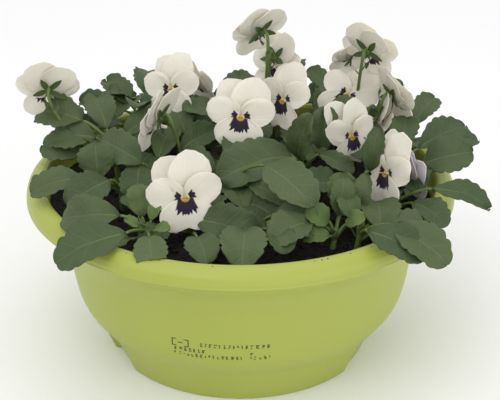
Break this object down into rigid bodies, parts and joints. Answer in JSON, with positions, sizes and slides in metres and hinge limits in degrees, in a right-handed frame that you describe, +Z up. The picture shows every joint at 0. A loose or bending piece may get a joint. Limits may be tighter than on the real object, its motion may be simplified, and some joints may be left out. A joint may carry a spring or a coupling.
{
  "type": "potted horned violet",
  "caption": "White horned violet in flower, planted in a wide round plastic bowl with a rolled rim and a stepped foot.",
  "frame": {"origin": "centre of the flat pad under the bowl, on the surface that the bowl stands on", "axes": "+Z up, front of the bowl and of the plant towards -Y"},
  "size_m": [0.2422, 0.2313, 0.1764],
  "materials": {
    "lime_plastic": "injection-moulded lime green plastic with a soft satin sheen",
    "compost": "dark, damp, crumbly potting compost",
    "petal_white": "soft creamy white petals with a purple-black blotch and a yellow eye",
    "petal_lilac": "petals of an ageing flower, flushed with pale lilac",
    "stalk_green": "smooth fresh green stalks and sepals",
    "leaf_green": "matte dark green leaves with paler veins and scalloped edges"
  },
  "bodies": {
    "root": {"corolla_01": "petal_white", "corolla_02": "petal_white", "corolla_03": "petal_white", "corolla_04": "petal_white", "corolla_05": "petal_white", "corolla_06": "petal_white", "corolla_07": "petal_lilac", "corolla_08": "petal_white", "corolla_09": "petal_white", "corolla_10": "petal_white", "corolla_11": "petal_white", "corolla_12": "petal_white", "corolla_13": "petal_white", "corolla_14": "petal_white", "corolla_15": "petal_white", "corolla_16": "petal_white", "corolla_17": "petal_white", "pot": "lime_plastic", "shoot_01": "leaf_green", "shoot_02": "leaf_green", "shoot_03": "leaf_green", "shoot_04": "leaf_green", "shoot_05": "leaf_green", "shoot_06": "leaf_green", "shoot_07": "leaf_green", "shoot_08": "leaf_green", "shoot_09": "leaf_green", "shoot_10": "leaf_green", "shoot_11": "leaf_green", "shoot_12": "leaf_green", "shoot_13": "leaf_green", "shoot_14": "leaf_green", "shoot_15": "leaf_green", "shoot_16": "leaf_green", "shoot_17": "leaf_green", "shoot_18": "leaf_green", "shoot_19": "leaf_green", "shoot_20": "leaf_green", "shoot_21": "leaf_green", "shoot_22": "leaf_green", "shoot_23": "leaf_green", "shoot_24": "leaf_green", "soil": "compost", "stalk_01": "stalk_green", "stalk_02": "stalk_green", "stalk_03": "stalk_green", "stalk_04": "stalk_green", "stalk_05": "stalk_green", "stalk_06": "stalk_green", "stalk_07": "stalk_green", "stalk_08": "stalk_green", "stalk_09": "stalk_green", "stalk_10": "stalk_green", "stalk_11": "stalk_green", "stalk_12": "stalk_green", "stalk_13": "stalk_green", "stalk_14": "stalk_green", "stalk_15": "stalk_green", "stalk_16": "stalk_green", "stalk_17": "stalk_green"}
  },
  "joints": []
}
